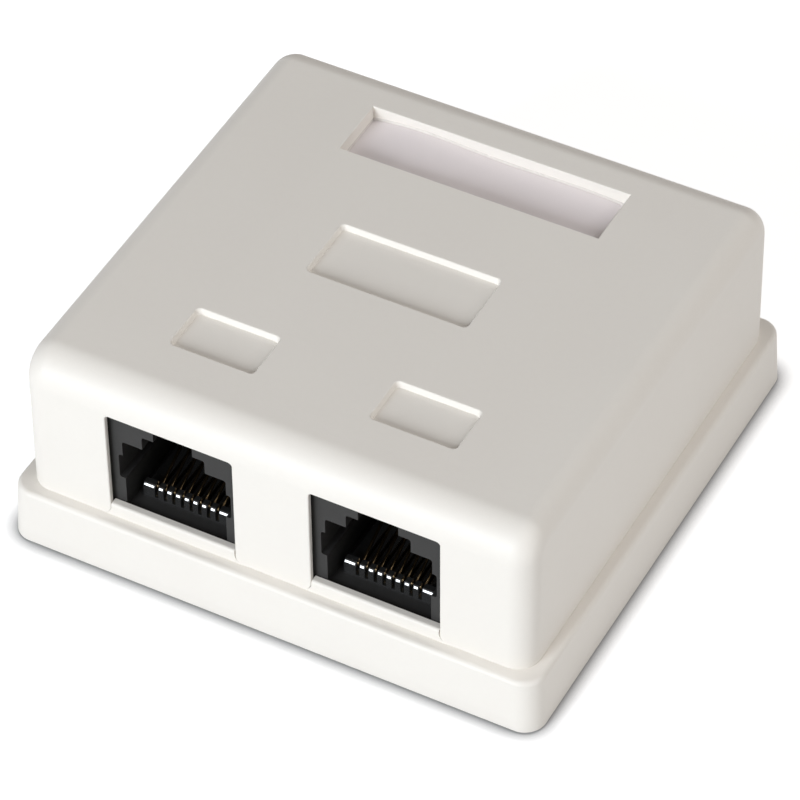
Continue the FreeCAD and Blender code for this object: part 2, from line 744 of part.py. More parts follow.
# ---- punch-down blocks --------------------------------------------------------------------------
def make_punch_block(port_x):
    """A moulded block with two rows of towers; a wire is pushed down between two towers."""
    middle_y = block_front + block_depth / 2
    body = bar(port_x, block_width, block_front, block_front + block_depth, board_top,
               board_top + block_slab)
    top = board_top + block_height
    rows = [bar(port_x, block_width, y - row_thickness / 2, y + row_thickness / 2, board_top, top)
            for y in sorted({y for _, y in blade_places(port_x)})]
    body = joined(body, rows)
    ends = [e for e in upright_edges(body) if abs(abs(e.BoundBox.XMin - port_x) - block_width / 2) < 0.01]
    body = body.makeChamfer(block_edge, ends)
    blade_top = top - blade_drop
    cuts = []
    for x, y in blade_places(port_x):
        floor = top - wire_slot_depth
        low, high = y - row_thickness, y + row_thickness
        mouth = face_of([Vector(x - wire_slot / 2, low, top - 2 * wire_lead),
                         Vector(x + wire_slot / 2, low, top - 2 * wire_lead),
                         Vector(x + wire_slot / 2 + wire_lead, low, top + 0.01),
                         Vector(x - wire_slot / 2 - wire_lead, low, top + 0.01)])
        reach = bar(x, wire_slot, y - row_thickness / 2 - 0.1, y + row_thickness / 2 + 0.1, floor, top)
        cuts += [reach, mouth.extrude(Vector(0, high - low, 0))]
        cuts.append(bar(x, blade_width + 2 * blade_gap, y - blade_sheet / 2 - blade_gap,
                        y + blade_sheet / 2 + blade_gap, board_top - 1, blade_top + blade_gap))
    return body.cut(cuts)


def make_blade(x, y):
    """A forked blade that cuts through a wire's jacket and grips the copper in its slit."""
    low, high = y - blade_sheet / 2, y + blade_sheet / 2
    top = board_top + block_height - blade_drop
    body = bar(x, blade_width, low, high, board_top, top)
    leg = bar(x, blade_leg, low, high, board_bottom - solder_reach, board_top + 0.1)
    body = joined(body, [leg])
    slit = bar(x, blade_fork, low - 1, high + 1, top - blade_fork_depth, top + 1)
    half = blade_width / 2
    mouth = face_of([Vector(x - half / 2, low - 1, top + 0.01), Vector(x + half / 2, low - 1, top + 0.01),
                     Vector(x, low - 1, top - half)])
    return body.cut([slit, mouth.extrude(Vector(0, blade_sheet + 2, 0))])


# ---- the whole box ------------------------------------------------------------------------------
def make_all():
    pieces = {
        "base": make_base(),
        "cover": make_cover(),
        "label_card": make_label_card(),
        "label_window": make_label_window(),
        "circuit_board": make_circuit_board(),
        "front_board_screw": make_board_screw(screw_places[0]),
        "rear_board_screw": make_board_screw(screw_places[1]),
    }
    for side, port_x in port_places.items():
        pieces[side + "_jack_housing"] = make_jack_housing(port_x)
        pieces[side + "_contact_insert"] = make_contact_insert(port_x)
        for number, (x, tail_y) in enumerate(contact_places(port_x), 1):
            pieces[f"{side}_contact_{number}"] = make_contact(x, tail_y)
        pieces[side + "_punch_block"] = make_punch_block(port_x)
        for number, (x, y) in enumerate(blade_places(port_x), 1):
            pieces[f"{side}_blade_{number}"] = make_blade(x, y)
    return pieces


def export(pieces):
    os.makedirs("parts", exist_ok=True)
    for name, shape in pieces.items():
        shape.exportStep(f"parts/{name}.step")
        print(f"{name}: {len(shape.Solids)} solid, {shape.Volume:.1f} mm3, valid {shape.isValid()}")


export(make_all())
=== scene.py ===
# %% [markdown]
# # A two-port surface mount jack box
#
# A moulded base screws to the wall, a circuit board with two modular jacks and two punch-down blocks
# stands on it, and a moulded cover drops over them. Nearly all of what is seen is one off-white
# plastic, so the work is in its soft light, its fine texture and the small parts in the two mouths.
#
# The solids come packed from the CAD model. This file dresses them: it cleans their meshes, builds the
# parts that repeat with Geometry Nodes, and gives every surface a procedural material.

import math

import bmesh
import bpy
from mathutils import Matrix, Vector


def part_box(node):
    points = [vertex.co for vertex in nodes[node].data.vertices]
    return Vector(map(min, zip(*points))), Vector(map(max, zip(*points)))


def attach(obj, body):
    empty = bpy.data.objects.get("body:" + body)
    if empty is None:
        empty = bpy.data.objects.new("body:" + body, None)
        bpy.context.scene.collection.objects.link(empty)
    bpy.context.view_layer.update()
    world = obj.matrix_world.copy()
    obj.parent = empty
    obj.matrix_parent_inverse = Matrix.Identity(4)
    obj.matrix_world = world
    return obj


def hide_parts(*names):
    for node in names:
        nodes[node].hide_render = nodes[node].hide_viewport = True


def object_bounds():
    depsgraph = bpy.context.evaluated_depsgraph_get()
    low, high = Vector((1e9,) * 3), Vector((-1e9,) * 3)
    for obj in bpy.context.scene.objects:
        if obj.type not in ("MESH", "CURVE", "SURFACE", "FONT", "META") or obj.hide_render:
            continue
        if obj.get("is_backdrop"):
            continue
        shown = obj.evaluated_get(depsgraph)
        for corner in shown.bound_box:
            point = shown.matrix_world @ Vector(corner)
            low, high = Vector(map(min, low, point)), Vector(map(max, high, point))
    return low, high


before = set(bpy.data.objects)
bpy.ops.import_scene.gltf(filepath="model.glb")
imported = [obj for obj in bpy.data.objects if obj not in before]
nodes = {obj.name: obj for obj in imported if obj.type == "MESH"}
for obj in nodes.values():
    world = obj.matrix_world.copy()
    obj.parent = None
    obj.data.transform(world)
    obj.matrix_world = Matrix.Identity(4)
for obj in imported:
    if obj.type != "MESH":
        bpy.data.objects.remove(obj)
cad_low, cad_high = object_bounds()
mm = 0.001
sides = ("left", "right")
print(f"{len(nodes)} solids, box {[round((b - a) / mm, 2) for a, b in zip(cad_low, cad_high)]} mm")

# %% [markdown]
# ## Writing shader maths as Python
#
# A shader graph gets long as soon as a finish has more than one kind of unevenness. Wrapping an output
# socket in a small class, with Python's operators adding Math nodes, lets the maths be written as it
# would be on paper. Every other node comes from one method, which sets what the node is before it
# joins its inputs, because a setting can change which inputs there are.

# %% A socket that can be reckoned with
class Value:
    """One output of a node. Arithmetic on it adds Math nodes to the same tree."""

    def __init__(self, tree, socket):
        self.tree = tree
        self.socket = socket

    def node(self, kind, settings=None, inputs=None, output=0):
        return add_node(self.tree, kind, settings, inputs, output)

    def math(self, operation, *values):
        return self.node("ShaderNodeMath", {"operation": operation}, dict(enumerate((self,) + values)))

    def __add__(self, other):
        return self.math("ADD", other)

    def __radd__(self, other):
        return self.math("ADD", other)

    def __sub__(self, other):
        return self.math("SUBTRACT", other)

    def __rsub__(self, other):
        return self.node("ShaderNodeMath", {"operation": "SUBTRACT"}, {0: other, 1: self})

    def __mul__(self, other):
        return self.math("MULTIPLY", other)

    def __rmul__(self, other):
        return self.math("MULTIPLY", other)

    def __pow__(self, other):
        return self.math("POWER", other)

    def __gt__(self, other):
        return self.math("GREATER_THAN", other)

    def clamped(self):
        """The same value kept between 0 and 1."""
        return self.node("ShaderNodeClamp", None, {"Value": self})

    def beside(self, name):
        """Another output of the node that this one comes from."""
        return Value(self.tree, self.socket.node.outputs[name])

    def xyz(self):
        """The three parts of a vector."""
        x = self.node("ShaderNodeSeparateXYZ", None, {"Vector": self})
        return x, x.beside("Y"), x.beside("Z")


def add_node(tree, kind, settings=None, inputs=None, output=0):
    """Adds a node, sets it up, joins or sets its inputs, and returns one of its outputs as a Value."""
    made = tree.nodes.new(kind)
    for name, setting in (settings or {}).items():
        setattr(made, name, setting)
    for name, value in (inputs or {}).items():
        if isinstance(value, Value):
            tree.links.new(value.socket, made.inputs[name])
        else:
            made.inputs[name].default_value = value
    return Value(tree, made.outputs[output]) if len(made.outputs) else made


def mix_colours(tree, factor, first, second):
    """The first colour where the factor is 0, the second where it is 1. A Mix node has sockets for
    numbers, vectors and colours, and 6, 7 and 2 are the ones for colours."""
    settings = {"data_type": "RGBA", "blend_type": "MIX"}
    inputs = {"Factor": factor, 6: first, 7: second}
    return add_node(tree, "ShaderNodeMix", settings, inputs, 2)


# %% [markdown]
# ## A material from its parts
#
# Every finish here is a Principled shader that differs in three things: its colour, its roughness and
# its relief. So one function makes the shader, and each finish is a short function that returns those
# three. Patterns read Object coordinates in metres, so a scale of 1000 has a period near a millimetre.

# %% The shader that all finishes share
def rgb(red, green, blue):
    """A colour given as it looks on screen, 0 to 255, turned into the light that it reflects."""
    def linear(level):
        level = level / 255
        return level / 12.92 if level <= 0.04045 else ((level + 0.055) / 1.055) ** 2.4

    return (linear(red), linear(green), linear(blue), 1.0)


def empty_tree(owner):
    """The node tree of a material or a world, with nothing in it yet."""
    owner.use_nodes = True
    owner.node_tree.nodes.clear()
    return owner.node_tree


def finish(name, paint, **constants):
    """A material. paint(tree, place) returns its colour, its roughness and its height in metres, which
    is None where it has no relief."""
    material = bpy.data.materials.new(name)
    tree = empty_tree(material)
    place = add_node(tree, "ShaderNodeTexCoord", output="Object")
    colour, roughness, height = paint(tree, place)
    inputs = {"Base Color": colour, "Roughness": roughness}
    if height is not None:
        relief = {"Strength": 1.0, "Distance": 1.0, "Height": height}
        inputs["Normal"] = add_node(tree, "ShaderNodeBump", None, relief)
    inputs.update({key.replace("_", " "): value for key, value in constants.items()})
    shader = add_node(tree, "ShaderNodeBsdfPrincipled", None, inputs)
    add_node(tree, "ShaderNodeOutputMaterial", None, {"Surface": shader})
    print(f"{name}: {len(tree.nodes)} nodes")
    return material


def noise(tree, place, size, detail=2.0, roughness=0.5):
    """Noise between 0 and 1 whose blotches are about that many metres across. More detail adds finer
    blotches, and more roughness makes them stronger."""
    inputs = {"Vector": place, "Scale": 1 / size, "Detail": detail, "Roughness": roughness}
    return add_node(tree, "ShaderNodeTexNoise", None, inputs, "Fac")


# %% [markdown]
# ## Moulded shell plastic
#
# The base and cover are ABS from a spark-eroded mould: an off-white that is a little warm, with a very
# fine, even grain that takes the shine off. Up close there are slow changes of tone where the melt
# flowed, and faint specks. The grain is a noise that shows in relief and roughness but not in colour.
# A much larger noise and a coarser one tint the colour by a percent or two. A painted texture would do
# that no better, and it would blur when seen close.

# %% Shell plastic
def paint_shell(tree, place):
    grain = noise(tree, place, 0.16 * mm, detail=3.0, roughness=0.6)
    flow = noise(tree, place, 14 * mm, roughness=0.45)
    specks = noise(tree, place, 0.7 * mm, detail=1.0)
    tone = (flow * 0.7 + specks * 0.3).clamped()
    colour = mix_colours(tree, tone, rgb(236, 231, 224), rgb(241, 237, 230))
    roughness = 0.40 + grain * 0.16
    height = grain * (0.010 * mm) + specks * (0.006 * mm)
    return colour, roughness, height


shell_plastic = finish("shell_plastic", paint_shell, IOR=1.52, Specular_IOR_Level=0.45)

# %% [markdown]
# ## Jack plastic and the other mouldings
#
# The jack housings are a dark grey glass-filled plastic. The fill leaves a slightly streaked, nearly
# dull surface, so its noise is drawn out along the mouth with a Mapping node and its reflection is
# held down. The contact insert is a darker plastic from a polished mould. Its skin is smooth enough to
# mirror a lamp, so its comb glints: low roughness under a clear coat gives that. The punch-down blocks
# are a whiter, harder plastic than the shell.

# %% Jack, insert and block plastics
def paint_jack(tree, place):
    drawn_out = place.node("ShaderNodeMapping", None, {"Vector": place, "Scale": (1, 0.25, 1)})
    fibres = noise(tree, drawn_out, 0.22 * mm, detail=3.0, roughness=0.65)
    cloud = noise(tree, place, 3 * mm)
    tone = (fibres * 0.6 + cloud * 0.4).clamped()
    colour = mix_colours(tree, tone, rgb(46, 46, 46), rgb(56, 55, 54))
    roughness = 0.34 + fibres * 0.2
    height = fibres * (0.006 * mm)
    return colour, roughness, height


def paint_insert(tree, place):
    cloud = noise(tree, place, 0.5 * mm)
    colour = mix_colours(tree, cloud, rgb(38, 38, 38), rgb(46, 46, 46))
    roughness = 0.08 + cloud * 0.1
    height = cloud * (0.001 * mm)
    return colour, roughness, height


def paint_block(tree, place):
    grain = noise(tree, place, 0.12 * mm)
    cloud = noise(tree, place, 5 * mm)
    colour = mix_colours(tree, cloud, rgb(226, 224, 217), rgb(233, 231, 226))
    roughness = 0.36 + grain * 0.14
    height = grain * (0.004 * mm)
    return colour, roughness, height


jack_plastic = finish("jack_plastic", paint_jack, IOR=1.5, Specular_IOR_Level=0.2)
insert_plastic = finish("insert_plastic", paint_insert, IOR=1.6, Specular_IOR_Level=1.0,
                        Coat_Weight=1.0, Coat_Roughness=0.05)
block_plastic = finish("block_plastic", paint_block, IOR=1.52)

# %% [markdown]
# ## Metals
#
# Gold on a spring wire is thin and bright, nearly a mirror, so it mostly shows the dark of the mouth
# and a glint where it bends. Tin on the stamped blades is duller and blotchy. The zinc on the screws
# is bluish and clouded. Solder wets the joint and sets in a bright, slightly wrinkled skin. They differ
# only in their tones and in how rough they are, so one function that is given those numbers returns
# the paint function of each.

# %% Gold, tin, zinc and solder
def metal(dark, light, size, rough, spread, relief):
    """A paint function for a metal: two tones in blotches of that size, roughness and its spread."""
    def paint(tree, place):
        blotch = noise(tree, place, size, detail=3.0, roughness=0.55)
        fine = noise(tree, place, size / 6)
        colour = mix_colours(tree, blotch, dark, light)
        return colour, rough + blotch * spread, fine * relief

    return paint


# Gold darkened below fresh plating: a painted shade for the dim light in the mouths.
gold_with_painted_shade = metal(rgb(152, 130, 96), rgb(182, 158, 122),
             size=0.3 * mm, rough=0.05, spread=0.06, relief=0.001 * mm)
tin = metal(rgb(186, 186, 182), rgb(208, 208, 204),
            size=0.5 * mm, rough=0.3, spread=0.2, relief=0.003 * mm)
zinc = metal(rgb(168, 172, 180), rgb(204, 206, 208),
             size=0.6 * mm, rough=0.25, spread=0.2, relief=0.003 * mm)
bright_solder = metal(rgb(176, 177, 178), rgb(214, 215, 216),
                      size=0.25 * mm, rough=0.16, spread=0.2, relief=0.006 * mm)

gold_plate = finish("gold_plate", gold_with_painted_shade, Metallic=1.0)
tin_plate = finish("tin_plate", tin, Metallic=1.0)
zinc_plate = finish("zinc_plate", zinc, Metallic=1.0)
solder = finish("solder", bright_solder, Metallic=1.0)

# %% [markdown]
# ## Circuit board
#
# Under green solder mask the board is lighter where copper lies and darker where it doesn't, and the
# woven glass shows as a fine square grid. A slow noise gives the patches, and two sine waves crossed
# give the weave, in tone and as relief. The white outlines round the jacks and blocks are printed ink.
# They come from the boxes of those parts, so they always fit them.

# %% Solder mask and printed outlines
weave_pitch = 0.5 * mm
ink_line = 0.2 * mm
outlined = [side + part for side in sides for part in ("_punch_block", "_jack_housing")]


def printed_frame(across, along, box, line):
    """1 on the line printed round a part that covers that box, two line widths off it, 0 elsewhere."""
    low, high = box
    aside = (across - (low.x + high.x) / 2).math("ABSOLUTE") - (high.x - low.x) / 2 - 2 * line
    beyond = (along - (low.y + high.y) / 2).math("ABSOLUTE") - (high.y - low.y) / 2 - 2 * line
    out = aside.math("MAXIMUM", beyond)
    return (out > 0) * (1 - (out > line))


def paint_mask(tree, place):
    across, along, _ = place.xyz()
    turn = 2 * math.pi / weave_pitch
    weave = (across * turn).math("SINE") * (along * turn).math("SINE")
    cloud = noise(tree, place, 6 * mm)
    tone = (weave * 0.12 + cloud * 0.8).clamped()
    green = mix_colours(tree, tone, rgb(16, 82, 44), rgb(30, 104, 58))
    frames = [printed_frame(across, along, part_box(part), ink_line) for part in outlined]
    ink = frames[0]
    for other in frames[1:]:
        ink = ink.math("MAXIMUM", other)
    colour = mix_colours(tree, ink, green, rgb(222, 226, 220))
    roughness = 0.22 + cloud * 0.1 + ink * 0.3
    height = weave * (0.002 * mm) + ink * (0.01 * mm)
    return colour, roughness, height


board_mask = finish("board_mask", paint_mask, IOR=1.5, Coat_Weight=0.3)
print("outlines round", ", ".join(outlined))

# %% [markdown]
# ## Label card and its window
#
# The card is plain and uncoated, with a faint lilac cast, and its fibres show as very soft flecks. The
# window over it is thin clear plastic that bows up between its ends. It is nearly invisible but for
# its gloss. True refraction would need many light bounces for so little, so it is a smooth surface
# with a low alpha.

# %% Card and clear window
def paint_card(tree, place):
    flecks = noise(tree, place, 0.25 * mm, detail=4.0, roughness=0.7)
    cloud = noise(tree, place, 4 * mm)
    tone = (flecks * 0.5 + cloud * 0.5).clamped()
    colour = mix_colours(tree, tone, rgb(248, 241, 242), rgb(253, 247, 247))
    roughness = 0.75 + flecks * 0.1
    height = flecks * (0.006 * mm)
    return colour, roughness, height


def paint_window(tree, place):
    roughness = 0.06 + noise(tree, place, 6 * mm) * 0.05
    return rgb(250, 246, 247), roughness, None


label_paper = finish("label_paper", paint_card)
clear_window = finish("clear_window", paint_window, Alpha=0.14, IOR=1.49)

# %% [markdown]
# ## Mouldings from the solids
#
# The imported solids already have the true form, down to the fine bevels round each rim, but as loose
# flat triangles. Shading them as they are would show each facet. So each moulding is a copy with its
# corners joined and its flat faces made whole again, smoothed across turns below an angle that suits
# it. Weighted Normal then keeps the large flats flat and puts the whole turn into the narrow bevels,
# which makes them look like the small rounds of a real moulding. Modelling the forms again by hand
# would only risk a second, wrong form.

# %% A clean skin for a solid
weld = 0.0005 * mm
flat = math.radians(0.2)


def placed(name, data):
    """An object with that mesh, lamp or camera, put in the scene."""
    made = bpy.data.objects.new(name, data)
    bpy.context.scene.collection.objects.link(made)
    return made


def moulding(node, material, body="base", crease=26, spread=0.0, worked=None):
    """A piece with a solid's own form, joined up and smoothed below that many degrees of turn. It can
    spread sideways by a little, as a sheet does that is sprung into its pocket, and be worked further."""
    mesh = nodes[node].data.copy()
    low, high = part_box(node)
    middle = (low + high) / 2
    form = bmesh.new()
    form.from_mesh(mesh)
    for vert in form.verts:
        vert.co.x += math.copysign(spread, vert.co.x - middle.x)
        vert.co.y += math.copysign(spread, vert.co.y - middle.y)
    bmesh.ops.remove_doubles(form, verts=form.verts, dist=weld)
    bmesh.ops.dissolve_limit(form, angle_limit=flat, verts=form.verts, edges=form.edges)
    if worked:
        print(node, worked(form))
    form.to_mesh(mesh)
    form.free()
    for name in ("custom_normal", "sharp_edge"):
        if name in mesh.attributes:
            mesh.attributes.remove(mesh.attributes[name])
    mesh.materials.clear()
    mesh.materials.append(material)
    mesh.shade_smooth()
    mesh.set_sharp_from_angle(angle=math.radians(crease))
    piece = placed(node + "_skin", mesh)
    weighted = piece.modifiers.new("weighted_normals", "WEIGHTED_NORMAL")
    weighted.keep_sharp = True
    weighted.weight = 100
    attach(piece, body)
    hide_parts(node)
    return piece


# %% The shell, the board and the label
sheet_spread = 0.08 * mm
skins = [
    moulding("base", shell_plastic, crease=50),
    moulding("cover", shell_plastic, "cover", crease=50),
    moulding("circuit_board", board_mask),
    moulding("label_card", label_paper, "cover", crease=40, spread=sheet_spread),
    moulding("label_window", clear_window, "cover", crease=40, spread=sheet_spread),
]
print(", ".join(f"{skin.name} {len(skin.data.polygons)}" for skin in skins), "faces")

# %% [markdown]
# ## Teeth and mouths of the jacks
#
# Two forms in the mouths are finer than the solids carry them. The front of each comb tooth slopes, and
# polishing leaves it slightly crowned, so it mirrors a lamp in a short bright spot and not over its
# whole face. Insetting the face, lifting it a little and leaning it back gives that with five faces.
# The corners of the stepped mouth are rounded, because the core that moulds them is. There a bevel
# on the edges that run into the mouth does it. Rounding everything with a Bevel modifier would
# soften edges that are crisp on the real jack.

# %% Crowned comb teeth
nose_slope = math.radians(30)
nose_out = Vector((0, -math.cos(nose_slope), math.sin(nose_slope)))
nose_rise = Vector((0, math.sin(nose_slope), math.cos(nose_slope)))
nose_margin = 0.15 * mm
nose_crown = 0.08 * mm
nose_lean = math.radians(4)
nose_height = 0.7           # of what the margin leaves
nose_turn = 0.05            # how far the normal of a tooth's front may be off


def crown_teeth(form):
    """Gives the sloping front of each comb tooth a smaller, slightly proud face, as if rounded."""
    noses = [face for face in form.faces if (face.normal - nose_out).length < nose_turn]
    bmesh.ops.inset_individual(form, faces=noses, thickness=nose_margin, depth=nose_crown)
    lean = Matrix.Rotation(-nose_lean, 3, "X")
    for face in noses:
        middle = face.calc_center_median()
        for vert in face.verts:
            vert.co -= nose_rise * (vert.co - middle).dot(nose_rise) * (1 - nose_height)
        bmesh.ops.rotate(form, cent=middle, matrix=lean, verts=list(face.verts))
    return f"{len(noses)} crowned teeth"


# %% Rounded corners of the mouths
mouth_round = 0.28 * mm
_, comb_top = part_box("left_contact_insert")
above_comb = comb_top.z + 0.5 * mm
near = 0.01 * mm
straight_in = 0.999         # how much of an edge's direction lies along the mouth


def round_mouth(form):
    """Rounds the outer corners of the steps of a jack's mouth."""
    front = min(vert.co.y for vert in form.verts)
    corners = []
    for edge in form.edges:
        first, second = edge.verts
        runs_in = abs((second.co - first.co).normalized().y) > straight_in
        at_front = min(first.co.y, second.co.y) < front + near
        if runs_in and at_front and first.co.z > above_comb and not edge.is_convex:
            corners.append(edge)
    bmesh.ops.bevel(form, geom=corners, offset=mouth_round, segments=4, profile=0.5, affect="EDGES")
    return f"{len(corners)} rounded corners"


# %% The jacks and the punch-down blocks
for side in sides:
    skins += [
        moulding(side + "_jack_housing", jack_plastic, crease=35, worked=round_mouth),
        moulding(side + "_contact_insert", insert_plastic, crease=12, worked=crown_teeth),
        moulding(side + "_punch_block", block_plastic),
    ]
print(f"{len(skins)} skins, {sum(len(skin.data.polygons) for skin in skins)} faces")

# %% [markdown]
# ## Blades
#
# The sixteen punch-down blades are flat stampings with sharp edges, so flat shading is right for them
# and the solids can stay as they are. A skin would look no different. They only need their tin.

# %% Tin on the blades
blades = [node for name, node in nodes.items() if "_blade_" in name]
for blade in blades:
    blade.data.materials.clear()
    blade.data.materials.append(tin_plate)
print(f"{len(blades)} tinned blades")

# %% [markdown]
# ## Building a node tree of one's own
#
# The contacts, the solder joints and the screws repeat, so Geometry Nodes make them. Copies made in
# Python would look the same, but a tree keeps its sizes as named inputs that can be changed by hand
# later. A modifier keeps its inputs under the sockets' identifiers, so these are looked up by name, and
# the values are set before anything is evaluated. What comes out is kept as a plain mesh.

# %% Geometry Nodes helpers
def new_tree(name, inputs):
    """A geometry tree with named inputs. inputs is a name to socket type table."""
    tree = bpy.data.node_groups.new(name, "GeometryNodeTree")
    face = tree.interface
    face.new_socket("Geometry", in_out="INPUT", socket_type="NodeSocketGeometry")
    for label, kind in inputs.items():
        face.new_socket(label, in_out="INPUT", socket_type=kind)
    face.new_socket("Geometry", in_out="OUTPUT", socket_type="NodeSocketGeometry")
    start = tree.nodes.new("NodeGroupInput")
    return tree, {label: Value(tree, start.outputs[label]) for label in ("Geometry", *inputs)}


def end_tree(tree, result, material):
    """Realizes the instances, gives them their material and joins them to the output."""
    real = add_node(tree, "GeometryNodeRealizeInstances", None, {"Geometry": result})
    dressed = add_node(tree, "GeometryNodeSetMaterial", None, {"Geometry": real, "Material": material})
    add_node(tree, "NodeGroupOutput", None, {"Geometry": dressed})
    print(f"{tree.name}: {len(tree.nodes)} nodes")
    return tree


# %% From a tree to a piece
def grown(name, mesh, tree, values, body, smooth=35):
    """Runs a tree on a mesh and returns the result as a plain mesh piece that rides on a body."""
    seed = placed(name + "_seed", mesh)
    modifier = seed.modifiers.new("grow", "NODES")
    modifier.node_group = tree
    inputs = [item for item in tree.interface.items_tree if item.in_out == "INPUT"]
    identifiers = {item.name: item.identifier for item in inputs}
    for label, value in values.items():
        modifier[identifiers[label]] = value
    evaluated = seed.evaluated_get(bpy.context.evaluated_depsgraph_get())
    result = bpy.data.meshes.new_from_object(evaluated)
    result.name = name
    bpy.data.objects.remove(seed)
    result.shade_smooth()
    result.set_sharp_from_angle(angle=math.radians(smooth))
    piece = placed(name, result)
    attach(piece, body)
    return piece


def dots(name, points, in_line=False):
    """A mesh that is only these points, or a line through them."""
    edges = [(i, i + 1) for i in range(len(points) - 1)] if in_line else []
    mesh = bpy.data.meshes.new(name)
    mesh.from_pydata(points, edges, [])
    return mesh


# %% [markdown]
# ## Jack contacts
#
# Each jack has eight gold-plated spring wires. A wire comes up through the board, runs forward under
# the insert's strap, turns back over itself in a slot of the comb, and rises into the mouth as a free
# arm with a turned-down tip. The tree takes the wire's corners as a bare line, rounds them with
# Fillet Curve, sweeps a softly rounded section along it, and repeats it at every second slot. That
# keeps one thickness through every bend, which boxes joined end to end would not. The tails stand in
# two rows, so it runs once for each row.

# %% The path of one wire
wire_thick = 0.25 * mm
wire_wide = 0.32 * mm
bend = 0.40 * mm            # at the middle line of every bend
groove_web = 0.2 * mm       # plastic between a wire and the underside of the insert
rise = math.radians(26)
arm = 5.8 * mm
tip = 0.9 * mm
section_round = 0.35        # corners of the wire's section, as a share of its thickness
slot_pitch = 1.016 * mm
wires_in_jack = 8
rows = 2


def wire_corners(first):
    """Corners of a wire's middle line, from its tail to its tip, read off the solid of that wire."""
    low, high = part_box(first)
    seat_low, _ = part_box(first.split("_")[0] + "_contact_insert")
    x = (low.x + high.x) / 2
    tail_y = high.y - wire_thick / 2
    leg_z = seat_low.z + groove_web + wire_thick / 2
    nose_y = low.y + wire_thick / 2 + bend
    top_y = nose_y - bend * math.sin(rise)
    top_z = leg_z + bend * (1 + math.cos(rise))
    turn_y = top_y - (top_z - leg_z) / math.tan(rise)
    end_y, end_z = top_y + arm * math.cos(rise), top_z + arm * math.sin(rise)
    return [
        (x, tail_y, low.z),
        (x, tail_y, leg_z),
        (x, turn_y, leg_z),
        (x, end_y, end_z),
        (x, end_y + tip * math.cos(rise), end_z - tip * math.sin(rise)),
    ]


# %% The tree that makes a row of wires
tree, given = new_tree("contact_row", {
    "Bend": "NodeSocketFloat", "Width": "NodeSocketFloat", "Thickness": "NodeSocketFloat",
    "Step": "NodeSocketFloat", "Wires": "NodeSocketInt",
})
line = add_node(tree, "GeometryNodeMeshToCurve", None, {"Mesh": given["Geometry"]})
path = add_node(tree, "GeometryNodeFilletCurve", {"mode": "POLY"},
                {"Curve": line, "Count": 8, "Radius": given["Bend"], "Limit Radius": True})
path = add_node(tree, "GeometryNodeSetCurveNormal", {"mode": "FREE"}, {"Curve": path, "Normal": (1, 0, 0)})
section = add_node(tree, "GeometryNodeCurvePrimitiveQuadrilateral", None,
                   {"Width": given["Width"], "Height": given["Thickness"]})
section = add_node(tree, "GeometryNodeFilletCurve", {"mode": "POLY"},
                   {"Curve": section, "Count": 3, "Radius": given["Thickness"] * section_round})
wire = add_node(tree, "GeometryNodeCurveToMesh", None,
                {"Curve": path, "Profile Curve": section, "Fill Caps": True})
step = add_node(tree, "ShaderNodeCombineXYZ", None, {"X": given["Step"]})
row = add_node(tree, "GeometryNodeMeshLine", None, {"Count": given["Wires"], "Offset": step})
wires = add_node(tree, "GeometryNodeInstanceOnPoints", None, {"Points": row, "Instance": wire})
contact_row = end_tree(tree, wires, gold_plate)

# %% Two rows of four wires in each jack
values = {"Bend": bend, "Width": wire_wide, "Thickness": wire_thick,
          "Step": rows * slot_pitch, "Wires": wires_in_jack // rows}
for side in sides:
    for number in range(1, rows + 1):
        first = f"{side}_contact_{number}"
        seed = dots(first + "_line", wire_corners(first), in_line=True)
        piece = grown(f"{side}_contact_row_{number}", seed, contact_row, values, "base")
        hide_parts(*(f"{side}_contact_{n}" for n in range(number, wires_in_jack + 1, rows)))
        low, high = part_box(first)
        got = [min(v.co[i] for v in piece.data.vertices) for i in range(3)]
        print(piece.name, "starts within", round((Vector(got) - low).length / mm, 3), "mm of its solid")

# %% [markdown]
# ## Solder joints
#
# Under the board each leg stands in a round pad, and solder has climbed it in a small hollow cone. A
# Cone node has straight sides, so this is a plain cylinder with its rings drawn in by a power of their
# height, because solder thins fast near the pad and slowly near the tip. One tree sets it on every leg,
# point downward.

# %% A turned shape, and several shapes as one
def turned(tree, radius, height, vertices, rings, profile):
    """A cylinder on its end with its rings drawn in. profile takes how far up a ring is, from 0 to 1,
    and returns what its radius is multiplied by."""
    rod = add_node(tree, "GeometryNodeMeshCylinder", None,
                   {"Vertices": vertices, "Side Segments": rings, "Radius": radius, "Depth": height})
    x, y, z = add_node(tree, "GeometryNodeInputPosition").xyz()
    climb = (z.math("DIVIDE", height) + 0.5).clamped()
    drawn_in = profile(climb)
    place = {"X": x * drawn_in, "Y": y * drawn_in, "Z": climb * height}
    place = add_node(tree, "ShaderNodeCombineXYZ", None, place)
    return add_node(tree, "GeometryNodeSetPosition", None, {"Geometry": rod, "Position": place})


def joined(tree, *parts):
    """Several geometries as one."""
    join = tree.nodes.new("GeometryNodeJoinGeometry")
    for part in parts:
        tree.links.new(part.socket, join.inputs["Geometry"])
    return Value(tree, join.outputs["Geometry"])


# %% The tree that solders the legs
cone_foot = 0.8             # of the pad's radius
cone_power = 2.4

tree, given = new_tree("solder_joints", {
    "Pad": "NodeSocketFloat", "Tip": "NodeSocketFloat",
    "Height": "NodeSocketFloat", "Copper": "NodeSocketFloat",
})


def hollow_cone(climb):
    """The solder's radius that far up the leg."""
    return given["Tip"] + (given["Pad"] * cone_foot - given["Tip"]) * (1 - climb) ** cone_power


cone = turned(tree, 1.0, given["Height"], vertices=20, rings=7, profile=hollow_cone)
pad = add_node(tree, "GeometryNodeMeshCylinder", None,
               {"Vertices": 20, "Radius": given["Pad"], "Depth": given["Copper"]})
joints = add_node(tree, "GeometryNodeInstanceOnPoints", None, {
    "Points": given["Geometry"], "Instance": joined(tree, cone, pad), "Rotation": (math.pi, 0.0, 0.0),
})
solder_joints = end_tree(tree, joints, solder)

